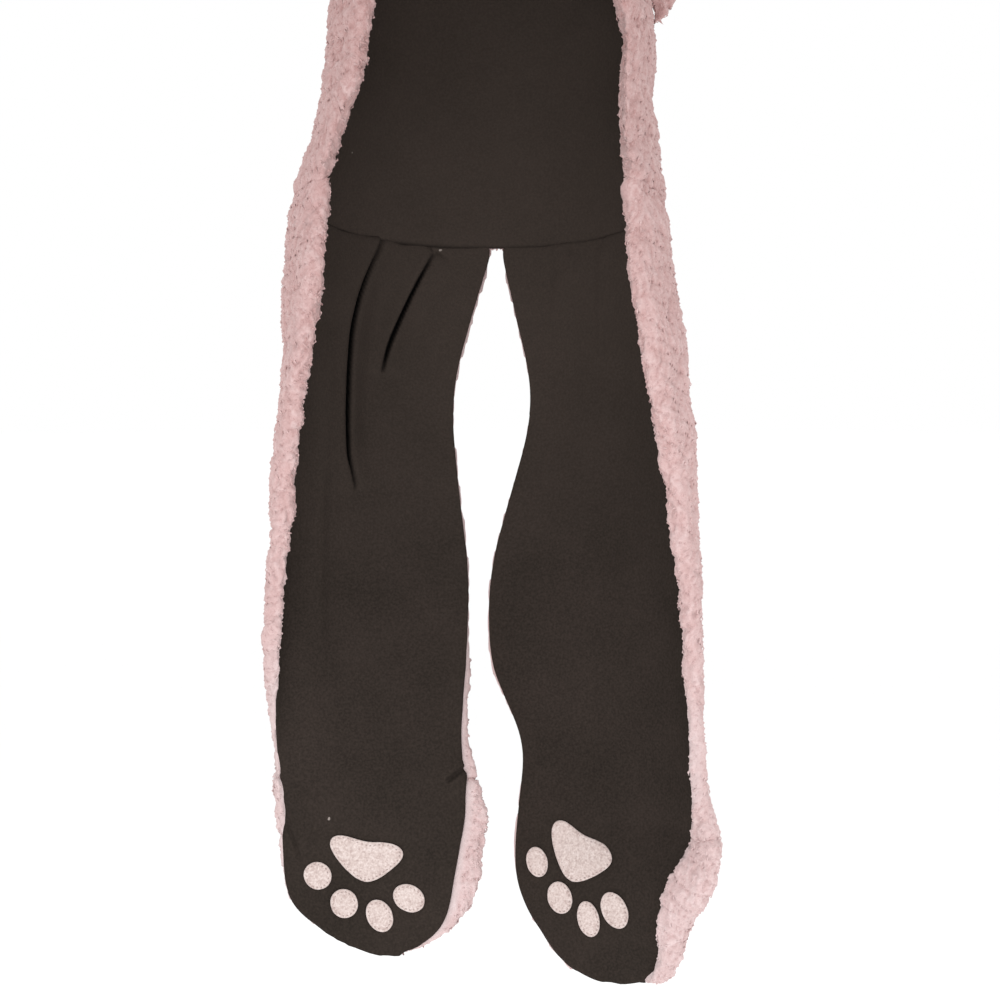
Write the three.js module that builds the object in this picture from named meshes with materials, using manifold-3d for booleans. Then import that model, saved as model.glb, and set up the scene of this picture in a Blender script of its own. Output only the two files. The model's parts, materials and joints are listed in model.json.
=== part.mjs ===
// Animal hood scarf: a plush hood whose two long arms end in rounded paws with felt pads.
// Millimetres, +Z up, front towards -Y, +X towards the wearer's left.
// The origin is the inside of the crown, where it rests on the top of the head.
// Each wall follows one base surface, the inner face of the lining: the lining lies on it,
// and the fur lies on the lining, each a clearance apart.
import * as THREE from 'three';
import { mergeVertices } from 'three/addons/utils/BufferGeometryUtils.js';
import Module from 'manifold-3d';

const wasm = await Module();
wasm.setup();

// Overall sizes
const crownToTip = 709;
const hoodHalfWidth = 95;
const hoodHalfDepth = 97;
const crownHeight = 100;
const armHalfSpan = 132;
const armHalfDepth = 100;

// Cloth and plush
const liningThickness = 2;
const furThickness = 9;
const clearance = 0.3;
const lockDepth = 1.6;
const lockWidth = 31;
const lockHeight = 37;

// Edges: the plush lip round the face opening and down the outer edges of the arms
const lipReach = 9;
const lipHeight = 5;
const lipOverlap = 4;
const hemReach = 2;
const rollRadius = 7.5;

// Creases of the arms
const creaseWidth = 20;
const creaseDepth = 9;

// Levels below the crown: where the face opening starts and has its full width, where the
// hood is sewn to the arms at the front and at the nape, and where the paws begin
const browDepth = 36;
const templeDepth = 106;
const seamDepthFront = 184;
const seamDepthBack = 222;
const wristDepth = { left: 607, right: 577 };

// Felt pads
const padThickness = 1.8;
const palmWidth = 50;
const palmHeight = 33;
const toeWidth = 18;
const toeHeight = 22;

// Ears: a disc whose centre is set into the plush of the dome, turned from upright by its tilt
const earRadius = 36;
const earThickness = 16;
const earCup = 6;
const earSetIn = 7;
const earTilt = { left: 63, right: 52 };
const earSetBack = 6;

// Roundness of the horizontal sections, as powers of a superellipse quarter, and of the arch
// over the face opening
const hoodCorner = 0.92;
const armCorner = 1.12;
const pawCorner = 1.9;
const archPower = 2.4;

// Mesh fineness
const columns = 14;
const armRows = 18;
const pawRows = 8;
const hoodTurns = 28;
const domeRows = 6;
const wallRows = 5;
const rollSteps = 36;
const rollSides = 8;
const toeSides = 10;

const plush = { color: 0xd0afab, roughness: 0.95, metalness: 0 };
const fleece = { color: 0x33292b, roughness: 0.9, metalness: 0 };
const felt = { color: 0xecdcd8, roughness: 0.95, metalness: 0 };

// One row for each horizontal section. level is a share of crownToTip. side and edge are the
// widest point and the inner edge across, as shares of the half width; sideY, front and edgeY
// are depths, as shares of the half depth; rim is the front edge, as a share of side. lip, hem
// and pile are shares of lipReach, hemReach and furThickness.
const sectionNames = ['level', 'side', 'sideY', 'front', 'rim', 'edge', 'edgeY', 'lip', 'hem', 'pile'];
const sections = {
  left: [
    [0.140, 1.025, 0.10, 1.00, 0.910, 0.035, 1.00, 1.0, 1.0, 1.0],
    [0.184, 1.005, 0.10, 1.00, 0.895, 0.035, 1.00, 1.0, 1.0, 1.0],
    [0.229, 1.021, 0.09, 1.00, 0.893, 0.035, 1.00, 1.0, 1.0, 1.0],
    [0.274, 1.080, 0.08, 1.00, 0.895, 0.035, 1.00, 1.0, 1.0, 1.0],
    [0.318, 1.125, 0.05, 0.99, 0.870, 0.040, 0.98, 1.0, 1.0, 1.0],
    [0.365, 1.125, 0.00, 0.95, 0.875, 0.114, 0.93, 1.0, 1.0, 1.0],
    [0.457, 1.010, -0.10, 0.85, 0.905, 0.213, 0.79, 1.0, 1.0, 1.0],
    [0.550, 0.960, -0.18, 0.74, 0.955, 0.091, 0.64, 1.0, 1.0, 1.0],
    [0.643, 0.995, -0.26, 0.50, 0.985, -0.023, 0.51, 1.0, 1.0, 1.0],
    [0.703, 1.002, -0.28, 0.35, 0.990, -0.023, 0.44, 0.8, 1.0, 1.0],
    [0.745, 1.008, -0.30, 0.28, 0.992, 0.058, 0.39, 0.6, 1.0, 1.0],
    [0.785, 1.010, -0.32, 0.22, 0.994, 0.168, 0.34, 0.4, 1.0, 1.0],
    [0.833, 1.032, -0.32, 0.22, 0.995, 0.155, 0.29, 0.6, 1.0, 1.0],
    [0.864, 1.045, -0.31, 0.22, 0.996, 0.132, 0.27, 2.7, 1.5, 1.9],
    [0.901, 0.905, -0.30, 0.20, 0.996, 0.118, 0.23, 3.5, 1.5, 2.6],
    [0.937, 0.884, -0.28, 0.20, 0.996, 0.165, 0.18, 1.9, 1.5, 2.4],
    [0.969, 0.877, -0.24, 0.15, 0.996, 0.288, 0.08, 1.4, 1.5, 1.8],
    [0.990, 0.850, -0.16, 0.15, 0.996, 0.435, -0.04, 1.2, 1.5, 1.1],
    [1.000, 0.785, -0.12, 0.10, 0.996, 0.580, -0.08, 0.9, 1.0, 0.7],
  ],
  right: [
    [0.140, 1.000, 0.10, 1.00, 0.765, 0.035, 1.00, 1.0, 1.0, 1.0],
    [0.184, 1.042, 0.10, 1.00, 0.820, 0.035, 1.00, 1.0, 1.0, 1.0],
    [0.229, 1.109, 0.09, 1.00, 0.895, 0.035, 1.00, 1.0, 1.0, 1.0],
    [0.274, 1.225, 0.08, 1.00, 0.895, 0.035, 1.00, 1.0, 1.0, 1.0],
    [0.318, 1.285, 0.05, 0.99, 0.864, 0.040, 0.98, 1.0, 1.0, 1.0],
    [0.365, 1.245, 0.00, 0.95, 0.880, 0.133, 0.92, 1.0, 1.0, 1.0],
    [0.457, 1.062, -0.08, 0.87, 0.960, 0.243, 0.75, 1.0, 1.0, 1.0],
    [0.550, 1.014, -0.14, 0.50, 0.975, 0.174, 0.55, 1.0, 1.0, 1.0],
    [0.643, 1.052, -0.18, 0.30, 0.985, 0.120, 0.36, 0.8, 1.0, 1.0],
    [0.703, 1.065, -0.16, 0.20, 0.992, 0.122, 0.23, 0.6, 2.0, 1.0],
    [0.745, 1.070, -0.11, 0.15, 0.994, 0.140, 0.13, 0.3, 3.0, 1.0],
    [0.785, 1.072, -0.06, 0.15, 0.996, 0.146, 0.05, 0.1, 3.5, 1.0],
    [0.836, 1.056, 0.00, 0.15, 0.996, 0.106, -0.05, 0.7, 6.5, 1.6],
    [0.866, 1.056, 0.03, 0.12, 0.996, 0.134, -0.09, 0.5, 8.0, 2.1],
    [0.903, 1.058, 0.03, 0.10, 0.996, 0.170, -0.12, 0.1, 8.5, 2.4],
    [0.939, 1.020, -0.01, 0.10, 0.996, 0.200, -0.13, 0.1, 7.0, 2.2],
    [0.960, 0.840, -0.05, 0.10, 0.996, 0.288, -0.12, 0.1, 4.5, 1.4],
    [0.974, 0.655, -0.07, 0.10, 0.996, 0.400, -0.10, 0.1, 2.5, 0.8],
    [0.981, 0.545, -0.07, 0.10, 0.996, 0.450, -0.09, 0.1, 1.0, 0.4],
  ],
};

// Creases and ridges of the arms. from and to are levels; x0, x1 and x2 are the path's start,
// middle and end across, as shares of armHalfSpan; width and depth are shares of creaseWidth
// and creaseDepth, and a negative depth stands forward as a ridge.
const foldNames = ['from', 'to', 'x0', 'x1', 'x2', 'width', 'depth'];
const folds = {
  left: [
    [0.29, 0.42, 0.38, 0.38, 0.42, 1.0, -0.45],
    [0.36, 0.56, 0.50, 0.53, 0.62, 1.1, -0.45],
    [0.42, 0.66, 0.66, 0.66, 0.56, 1.2, 0.45],
  ],
  right: [
    [0.29, 0.54, 0.48, 0.75, 0.69, 1.0, 1.00],
    [0.30, 0.46, 0.24, 0.46, 0.57, 0.9, 0.90],
    [0.42, 0.80, 0.90, 0.88, 0.90, 1.0, -0.45],
  ],
};

// Felt pads in the front view. x and level are the centre, as shares of armHalfSpan and
// crownToTip; wide and high are shares of the pad's named size, and turn is in degrees.
const padNames = ['x', 'level', 'wide', 'high', 'turn'];
const palms = {
  left: [0.457, 0.890, 0.88, 1.08, -16],
  right: [-0.614, 0.890, 1.00, 0.96, 0],
};
const toes = {
  left: [
    [0.243, 0.900, 0.84, 0.90, 14],
    [0.362, 0.930, 0.93, 0.98, 8],
    [0.508, 0.946, 0.84, 1.10, 10],
    [0.639, 0.934, 0.96, 1.10, 20],
  ],
  right: [
    [-0.868, 0.908, 1.06, 0.90, 0],
    [-0.730, 0.933, 1.06, 0.90, 10],
    [-0.548, 0.943, 0.98, 1.02, 25],
    [-0.398, 0.925, 1.26, 0.84, -25],
  ],
};
// The palm pad's outline in units of its half width and half height: a dipped top edge and
// a rounded lower corner
const palmOutline = [
  [-1.00, 0.60], [-0.88, 0.92], [-0.60, 0.98], [-0.25, 0.80], [0.05, 0.70], [0.40, 0.74],
  [0.74, 0.68], [0.98, 0.36], [0.90, 0.00], [0.56, -0.50], [0.18, -0.92], [-0.12, -0.96],
  [-0.44, -0.62], [-0.82, 0.02],
];

const signs = { left: 1, right: -1 };
const named = (names, row) => Object.fromEntries(names.map((name, i) => [name, row[i]]));
const mix = (a, b, t) => a + (b - a) * t;
const clamp = (x, low, high) => Math.min(Math.max(x, low), high);

function smooth(start, end, x) {
  const t = clamp((x - start) / (end - start), 0, 1);
  return t * t * (3 - 2 * t);
}

// Value of one column of a table at a level, by a cubic that doesn't overshoot its rows
function columnAt(rows, index, level) {
  const last = rows.length - 1;
  const x = clamp(level, rows[0][0], rows[last][0]);
  let i = 0;
  while (i < last - 1 && x > rows[i + 1][0]) i += 1;
  const slope = (k) => (rows[k + 1][index] - rows[k][index]) / (rows[k + 1][0] - rows[k][0]);
  const tangent = (k) => {
    if (k === 0) return slope(0);
    if (k === last) return slope(last - 1);
    const a = slope(k - 1);
    const b = slope(k);
    return a * b <= 0 ? 0 : (2 * a * b) / (a + b);
  };
  const width = rows[i + 1][0] - rows[i][0];
  const t = (x - rows[i][0]) / width;
  const rise = rows[i + 1][index] - rows[i][index];
  const m0 = tangent(i) * width;
  const m1 = tangent(i + 1) * width;
  return rows[i][index] + t * m0 + t * t * (3 * rise - 2 * m0 - m1) + t * t * t * (m0 + m1 - 2 * rise);
}

const seamLevel = seamDepthBack / crownToTip;
const chestLevel = seamLevel + 0.24;
const halfWidthAt = (level) => mix(hoodHalfWidth, armHalfSpan, smooth(seamLevel, chestLevel, level));
const halfDepthAt = (level) => mix(hoodHalfDepth, armHalfDepth, smooth(seamLevel, chestLevel, level));
const pawLevel = 0.80;
const tipLevel = 0.96;
const cornerAt = (level) => (level < chestLevel
  ? mix(hoodCorner, armCorner, smooth(seamLevel, chestLevel, level))
  : mix(armCorner, pawCorner, smooth(pawLevel, tipLevel, level)));

// The horizontal section of one side at a level, in millimetres
function sectionAt(side, level) {
  const rows = sections[side];
  const share = named(sectionNames, sectionNames.map((name, i) => columnAt(rows, i, level)));
  const across = halfWidthAt(level);
  const deep = halfDepthAt(level);
  return {
    side: share.side * across,
    sideY: share.sideY * deep,
    front: share.front * deep,
    rim: share.side * share.rim * across,
    edge: share.edge * across,
    edgeY: share.edgeY * deep,
    lip: share.lip * lipReach,
    hem: share.hem * hemReach,
    pile: share.pile * furThickness,
    corner: cornerAt(level),
  };
}

// Outline of a section from the rim round the widest point to the inner edge, with even steps
const outlines = new Map();
function outlineAt(side, level) {
  const key = `${side}${level.toFixed(6)}`;
  if (outlines.has(key)) return outlines.get(key);
  const s = sectionAt(side, level);
  const points = [];
  const rimTurn = Math.acos(clamp(s.rim / s.side, 0, 1) ** (1 / s.corner));
  for (let i = 0; i <= 20; i += 1) {
    const turn = rimTurn * (1 - i / 20);
    const x = s.side * Math.cos(turn) ** s.corner;
    const y = s.sideY - s.front * Math.sin(turn) ** s.corner;
    points.push(new THREE.Vector2(x, y));
  }
  for (let i = 1; i <= 60; i += 1) {
    const turn = (Math.PI / 2) * (i / 60);
    const x = mix(s.edge, s.side, Math.cos(turn) ** s.corner);
    const y = mix(s.sideY, s.edgeY, Math.sin(turn) ** s.corner);
    points.push(new THREE.Vector2(x, y));
  }
  const lengths = [0];
  for (let i = 1; i < points.length; i += 1) {
    lengths.push(lengths[i - 1] + points[i].distanceTo(points[i - 1]));
  }
  const outline = { points, lengths, total: lengths[lengths.length - 1] };
  outlines.set(key, outline);
  return outline;
}

// Distance in depth that the folds push the base surface at a point of the front view
function foldDepth(side, x, level) {
  let depth = 0;
  for (const row of folds[side]) {
    const f = named(foldNames, row);
    const t = (level - f.from) / (f.to - f.from);
    if (t > 0 && t < 1) {
      const path = armHalfSpan * mix(mix(f.x0, f.x1, t), mix(f.x1, f.x2, t), t);
      const strength = Math.sin(Math.PI * t) ** 0.7;
      const across = (x - path) / ((f.width * creaseWidth) / 2);
      depth += f.depth * creaseDepth * strength * Math.exp(-across * across);
    }
  }
  return depth;
}

// Point of an arm's base surface; share runs from the rim, 0, to the inner edge, 1
function sheetPoint(side, level, share) {
  const { points, lengths, total } = outlineAt(side, level);
  const target = clamp(share, 0, 1) * total;
  let i = 1;
  while (i < lengths.length - 1 && lengths[i] < target) i += 1;
  const t = (target - lengths[i - 1]) / (lengths[i] - lengths[i - 1]);
  const flat = points[i - 1].clone().lerp(points[i], t);
  const y = flat.y + foldDepth(side, flat.x, level);
  return new THREE.Vector3(signs[side] * flat.x, y, -level * crownToTip);
}

// Point, outward normal and direction along the section, away from the rim. The direction is
// taken over a whole column, so that tight turns at an edge don't twist the walls
function sheetFrame(side, level, share) {
  const half = 0.5 / columns;
  const step = 0.004;
  const middle = clamp(share, half, 1 - half);
  const across = sheetPoint(side, level, middle + half).sub(sheetPoint(side, level, middle - half));
  const down = sheetPoint(side, level + step, share).sub(sheetPoint(side, level - step, share));
  const normal = down.cross(across).multiplyScalar(signs[side]).normalize();
  return { point: sheetPoint(side, level, share), normal, across: across.normalize() };
}

const offset = (frame, out, along) => frame.point.clone()
  .addScaledVector(frame.normal, out)
  .addScaledVector(frame.across, along);

// Height of the plush locks, by distances across and down the surface
function lockHeightAt(across, down) {
  const u = (2 * Math.PI * across) / lockWidth;
  const v = (2 * Math.PI * down) / lockHeight;
  return lockDepth * 0.5 * (Math.cos(u + 0.8 * Math.sin(v)) + Math.cos(v + 1.1 * Math.sin(u)));
}

// Flat cap of a long thin ring: point k is joined across to point last - k, and what is left
// past last is a fan
function ladder(count, last) {
  const faces = [];
  for (let k = last; k < count - 1; k += 1) faces.push([0, k, k + 1]);
  for (let low = 0, high = last; high - low > 1; low += 1, high -= 1) {
    faces.push([low, low + 1, high]);
    if (high - low > 2) faces.push([low + 1, high - 1, high]);
  }
  return faces;
}

// Solid through closed rings of points. An end is closed by a pole, which is a point, or by
// the ladder of a thin ring, given as the number of its last paired point
function loft(rings, firstEnd, lastEnd) {
  const positions = [];
  const faces = [];
  const count = rings[0].length;
  rings.forEach((ring) => ring.forEach((p) => positions.push(p.x, p.y, p.z)));
  for (let i = 0; i < rings.length - 1; i += 1) {
    for (let j = 0; j < count; j += 1) {
      const a = i * count + j;
      const b = i * count + ((j + 1) % count);
      faces.push(a, b, b + count, a, b + count, a + count);
    }
  }
  const close = (start, end, flip) => {
    const add = (a, b, c) => faces.push(...(flip ? [a, b, c] : [c, b, a]));
    if (typeof end === 'number') {
      ladder(count, end).forEach(([a, b, c]) => add(start + a, start + b, start + c));
      return;
    }
    positions.push(end.x, end.y, end.z);
    const pole = positions.length / 3 - 1;
    for (let j = 0; j < count; j += 1) add(pole, start + j, start + ((j + 1) % count));
  };
  close(0, firstEnd, false);
  close((rings.length - 1) * count, lastEnd, true);
  const geometry = new THREE.BufferGeometry();
  geometry.setAttribute('position', new THREE.Float32BufferAttribute(positions, 3));
  geometry.setIndex(faces);
  return geometry;
}

function volumeOf(geometry) {
  const p = geometry.attributes.position;
  const index = geometry.index.array;
  const [a, b, c] = [new THREE.Vector3(), new THREE.Vector3(), new THREE.Vector3()];
  let volume = 0;
  for (let i = 0; i < index.length; i += 3) {
    a.fromBufferAttribute(p, index[i]);
    b.fromBufferAttribute(p, index[i + 1]);
    c.fromBufferAttribute(p, index[i + 2]);
    volume += a.dot(b.cross(c)) / 6;
  }
  return volume;
}

// Turns a closed geometry into a solid that can be cut and joined, faces outward
function toSolid(geometry) {
  const bare = geometry.clone();
  bare.deleteAttribute('normal');
  bare.deleteAttribute('uv');
  const merged = mergeVertices(bare, 1e-5);
  const index = Array.from(merged.index.array);
  if (volumeOf(merged) < 0) {
    for (let i = 0; i < index.length; i += 3) [index[i], index[i + 1]] = [index[i + 1], index[i]];
  }
  return new wasm.Manifold(new wasm.Mesh({
    numProp: 3,
    vertProperties: new Float32Array(merged.attributes.position.array),
    triVerts: new Uint32Array(index),
  }));
}

function toGeometry(solid) {
  const mesh = solid.getMesh();
  const geometry = new THREE.BufferGeometry();
  geometry.setAttribute('position', new THREE.BufferAttribute(mesh.vertProperties, 3));
  geometry.setIndex(new THREE.BufferAttribute(mesh.triVerts, 1));
  geometry.computeVertexNormals();
  return geometry;
}

function addPiece(group, name, solid, look) {
  const material = new THREE.MeshStandardMaterial({ ...look, flatShading: true });
  const mesh = new THREE.Mesh(toGeometry(solid), material);
  mesh.name = name;
  group.add(mesh);
}

// Everything above the sloping seam between hood and arms, as a cutting block
function seamBlock(above) {
  const run = hoodHalfDepth * 1.5;
  const slope = Math.atan((seamDepthBack - seamDepthFront) / run);
  const size = crownToTip * 2;
  const block = new THREE.BoxGeometry(size, size, size);
  const shift = clearance / 2;
  block.translate(0, 0, above ? size / 2 - shift : shift - size / 2);
  block.rotateX(-slope);
  block.translate(0, hoodHalfDepth, -seamDepthBack);
  return toSolid(block);
}

// Levels of an arm's rows, from just above the seam to the wrist, and on to the paw's tip
const lastLevel = (side) => sections[side][sections[side].length - 1][0];
const wristLevel = (side) => wristDepth[side] / crownToTip;

function armLevels(side) {
  const start = (seamDepthFront - 2 * furThickness) / crownToTip;
  return Array.from({ length: armRows + 1 }, (_, i) => mix(start, wristLevel(side), i / armRows));
}

function pawLevels(side) {
  return Array.from({ length: pawRows + 1 }, (_, i) => {
    const t = Math.sin((Math.PI / 2) * (i / pawRows));
    return mix(wristLevel(side) + (2 * clearance) / crownToTip, lastLevel(side), t);
  });
}

const shares = Array.from({ length: columns + 1 }, (_, j) => j / columns);

// Ring of the lining; room is how far it is grown past its own faces and edges
function liningRing(side, level, room) {
  const frames = shares.map((share) => sheetFrame(side, level, share));
  const along = (j) => (j === 0 ? -room : 0) + (j === columns ? room : 0);
  const front = frames.map((frame, j) => offset(frame, -room, along(j)));
  const back = frames.map((frame, j) => offset(frame, liningThickness + room, along(j)));
  return [...front, ...back.reverse()];
}

function armLining(side, room) {
  const levels = [...armLevels(side), ...pawLevels(side)];
  const rings = levels.map((level) => liningRing(side, level, room));
  return toSolid(loft(rings, 2 * columns + 1, 2 * columns + 1));
}

const lipPoints = 7;

// Ring of the plush: the face on the lining, the lip that folds over the rim, the outer face
// and the plain hem of the inner edge
function furRing(side, level) {
  const s = sectionAt(side, level);
  const under = liningThickness + 1.6 * clearance;
  const frames = shares.map((share) => sheetFrame(side, level, share));
  const rim = frames[0];
  const hem = frames[columns];
  const total = outlineAt(side, level).total;
  const outer = frames.map((frame, j) => {
    const share = j / columns;
    const locks = lockHeightAt(share * total, level * crownToTip);
    const round = Math.sin(Math.PI * mix(0.12, 0.88, share)) ** 0.35;
    return offset(frame, under + s.pile * round + locks, 0);
  });
  const fold = Math.min(s.lip / lipReach, 1);
  const over = -2.5 * clearance;
  const inward = (fold * lipOverlap * columns) / total;
  const inside = (out) => offset(rim, out, (fold - 1) * 2 * clearance)
    .lerp(offset(frames[1], out, 0), inward);
  const lip = [
    offset(rim, over, -2 * clearance),
    inside(over),
    inside(over - 0.75 * fold * lipHeight),
    offset(rim, over - fold * lipHeight, -clearance - 0.3 * s.lip),
    offset(rim, over - 0.3 * fold * lipHeight, -clearance - 0.85 * s.lip),
    offset(rim, 0.35 * s.pile, -clearance - s.lip),
    offset(rim, under + 0.6 * s.pile, -0.6 * s.lip),
  ];
  const end = [
    offset(hem, under + 0.75 * s.pile, 0.7 * s.hem),
    offset(hem, under + 0.4 * s.pile, s.hem),
    offset(hem, under + 0.1 * s.pile, 0.6 * s.hem),
  ];
  const face = frames.map((frame) => offset(frame, under, 0)).reverse();
  face[face.length - 1] = offset(rim, under, -2 * clearance);
  return [...face, ...lip, ...outer, ...end];
}

// The last point of the outer face that pairs with the first one on the lining
const furPairs = 2 * columns + 1 + lipPoints;

function armFur(side) {
  const rings = armLevels(side).map((level) => furRing(side, level));
  return toSolid(loft(rings, furPairs, furPairs));
}

function pawFur(side) {
  const rings = pawLevels(side).map((level) => furRing(side, level));
  return toSolid(loft(rings, furPairs, furPairs)).subtract(armLining(side, clearance));
}

// Hood section at a depth below the crown, scaled down to a point in the dome above the ears
function hoodSection(side, depth) {
  const level = Math.max(depth, crownHeight) / crownToTip;
  const s = sectionAt(side, level);
  const rise = clamp(1 - depth / crownHeight, 0, 1);
  const scale = depth < crownHeight ? Math.sqrt(1 - rise * rise) ** hoodCorner : 1;
  return {
    side: s.side * scale,
    sideY: s.sideY * scale,
    front: s.front * scale,
    back: (s.edgeY - s.sideY) * scale,
    rim: s.rim,
  };
}

// Point of the hood's base surface; turn runs from the nape over the left side to the front
function hoodPoint(turn, depth) {
  const right = Math.sin(turn) < 0;
  const s = hoodSection(right ? 'right' : 'left', depth);
  const x = (right ? -1 : 1) * s.side * Math.abs(Math.sin(turn)) ** hoodCorner;
  const reach = Math.abs(Math.cos(turn)) ** hoodCorner;
  const y = Math.cos(turn) > 0 ? s.sideY + s.back * reach : s.sideY - s.front * reach;
  return new THREE.Vector3(x, y, -depth);
}

function hoodFrame(turn, depth) {
  const step = 0.02;
  const high = Math.max(depth - 1, 0.2);
  const around = hoodPoint(turn + step, depth).sub(hoodPoint(turn - step, depth));
  const down = hoodPoint(turn, depth + 1).sub(hoodPoint(turn, high));
  const normal = around.clone().cross(down).normalize();
  return { point: hoodPoint(turn, depth), normal, across: around.normalize() };
}

const bowlBottom = seamDepthBack + 3 * furThickness;
function bowlDepths() {
  const dome = Array.from({ length: domeRows }, (_, i) => {
    const tilt = (Math.PI / 2) * ((i + 1) / domeRows);
    return crownHeight * (1 - Math.cos(tilt));
  });
  const wall = Array.from({ length: wallRows }, (_, i) => (
    mix(crownHeight, bowlBottom, (i + 1) / wallRows)
  ));
  return [...dome, ...wall];
}

// Bowl between two distances from the base surface; locks raise its outer face
function bowl(inner, outer, locks) {
  const turns = Array.from({ length: hoodTurns }, (_, j) => (2 * Math.PI * j) / hoodTurns);
  const girth = Math.PI * (hoodHalfWidth + hoodHalfDepth);
  const ring = (depth, out, raised) => turns.map((turn) => {
    const height = raised ? locks * lockHeightAt((turn / (2 * Math.PI)) * girth, depth) : 0;
    return offset(hoodFrame(turn, depth), out + height, 0);
  });
  const depths = bowlDepths();
  const rings = [
    ...depths.map((depth) => ring(depth, outer, true)),
    ...depths.slice().reverse().map((depth) => ring(depth, inner, false)),
  ];
  return toSolid(loft(rings, new THREE.Vector3(0, 0, outer), new THREE.Vector3(0, 0, inner)));
}

// Half width of the face opening at a depth below the crown
function openingAt(side, depth) {
  const s = hoodSection(side, Math.max(depth, templeDepth));
  const rise = clamp((templeDepth - depth) / (templeDepth - browDepth), 0, 1);
  return s.rim * (1 - rise ** archPower) ** (1 / archPower);
}

// Depths of the opening's outline, close together at the brow
function openingDepths() {
  const arch = Array.from({ length: 9 }, (_, i) => {
    const tilt = (Math.PI / 2) * (i / 9);
    return mix(templeDepth, browDepth, Math.sin(tilt));
  });
  const wall = Array.from({ length: 8 }, (_, i) => mix(bowlBottom + 10, templeDepth, i / 8));
  return [...wall, ...arch];
}

function openingCutter() {
  const outline = [];
  openingDepths().forEach((depth) => {
    outline.push(new THREE.Vector2(openingAt('left', depth), -depth));
  });
  outline.push(new THREE.Vector2(0, -browDepth));
  openingDepths().reverse().forEach((depth) => {
    outline.push(new THREE.Vector2(-openingAt('right', depth), -depth));
  });
  const length = 3 * hoodHalfDepth;
  const block = new THREE.ExtrudeGeometry(new THREE.Shape(outline), {
    depth: length,
    bevelEnabled: false,
  });
  block.rotateX(Math.PI / 2);
  return toSolid(block);
}

// Point of the hood's front wall above a place in the front view
function rimPoint(side, depth, out) {
  const x = openingAt(side, depth);
  const s = hoodSection(side, depth);
  const turn = Math.asin(clamp(x / s.side, 0, 1) ** (1 / hoodCorner));
  const frame = hoodFrame(side === 'left' ? Math.PI - turn : Math.PI + turn, depth);
  return offset(frame, out, 0);
}

// Soft plush roll round the face opening
function rimRoll(grow) {
  const out = liningThickness + 0.3 * furThickness;
  const points = [];
  openingDepths().forEach((depth) => points.push(rimPoint('left', depth, out)));
  points.push(offset(hoodFrame(Math.PI, browDepth), out, 0));
  openingDepths().reverse().forEach((depth) => points.push(rimPoint('right', depth, out)));
  const curve = new THREE.CatmullRomCurve3(points, false, 'centripetal');
  const frames = curve.computeFrenetFrames(rollSteps, false);
  const length = curve.getLength();
  const rings = Array.from({ length: rollSteps + 1 }, (_, i) => {
    const centre = curve.getPointAt(i / rollSteps);
    const locks = grow > 0 ? 0 : 0.5 * lockHeightAt((i / rollSteps) * length, 0);
    return Array.from({ length: rollSides }, (__, j) => {
      const turn = (2 * Math.PI * j) / rollSides;
      return centre.clone()
        .addScaledVector(frames.normals[i], (rollRadius + grow + locks) * Math.cos(turn))
        .addScaledVector(frames.binormals[i], (rollRadius + grow + locks) * Math.sin(turn));
    });
  });
  return toSolid(loft(rings, curve.getPointAt(0), curve.getPointAt(1)));
}

function hoodFur() {
  const inner = liningThickness + 1.6 * clearance;
  return bowl(inner, inner + furThickness, 1)
    .subtract(openingCutter())
    .add(rimRoll(0))
    .subtract(seamBlock(false));
}

function hoodLining() {
  return bowl(0, liningThickness, 0)
    .subtract(openingCutter())
    .subtract(rimRoll(clearance + 0.5 * lockDepth))
    .subtract(seamBlock(false));
}

// Share along a section whose point lies at a given x in the front view, in the paw
function shareAtX(side, level, x) {
  let low = 0;
  let high = 1;
  for (let i = 0; i < 30; i += 1) {
    const middle = (low + high) / 2;
    if (Math.abs(sheetPoint(side, level, middle).x) > x) low = middle;
    else high = middle;
  }
  return (low + high) / 2;
}

// Felt pad that lies on the lining, from its outline in the front view
function pad(side, row, size, outline) {
  const p = named(padNames, row);
  const centre = new THREE.Vector2(p.x * armHalfSpan, -p.level * crownToTip);
  const turn = THREE.MathUtils.degToRad(p.turn);
  const layer = (scale, out) => outline.map(([u, v]) => {
    const spot = new THREE.Vector2(u * scale * size[0] * p.wide / 2, v * scale * size[1] * p.high / 2)
      .rotateAround(new THREE.Vector2(0, 0), turn)
      .add(centre);
    const level = -spot.y / crownToTip;
    const share = shareAtX(side, level, signs[side] * spot.x);
    return offset(sheetFrame(side, level, share), out, 0);
  });
  const under = -2 * clearance;
  const top = under - padThickness;
  const level = -centre.y / crownToTip;
  const middle = sheetFrame(side, level, shareAtX(side, level, signs[side] * centre.x));
  const rings = [
    layer(0.5, under), layer(1, under), layer(0.95, top), layer(0.5, top),
  ];
  return toSolid(loft(rings, offset(middle, under, 0), offset(middle, top, 0)));
}

const ovalOutline = Array.from({ length: toeSides }, (_, i) => {
  const turn = (2 * Math.PI * i) / toeSides;
  return [Math.cos(turn), Math.sin(turn)];
});

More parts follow.
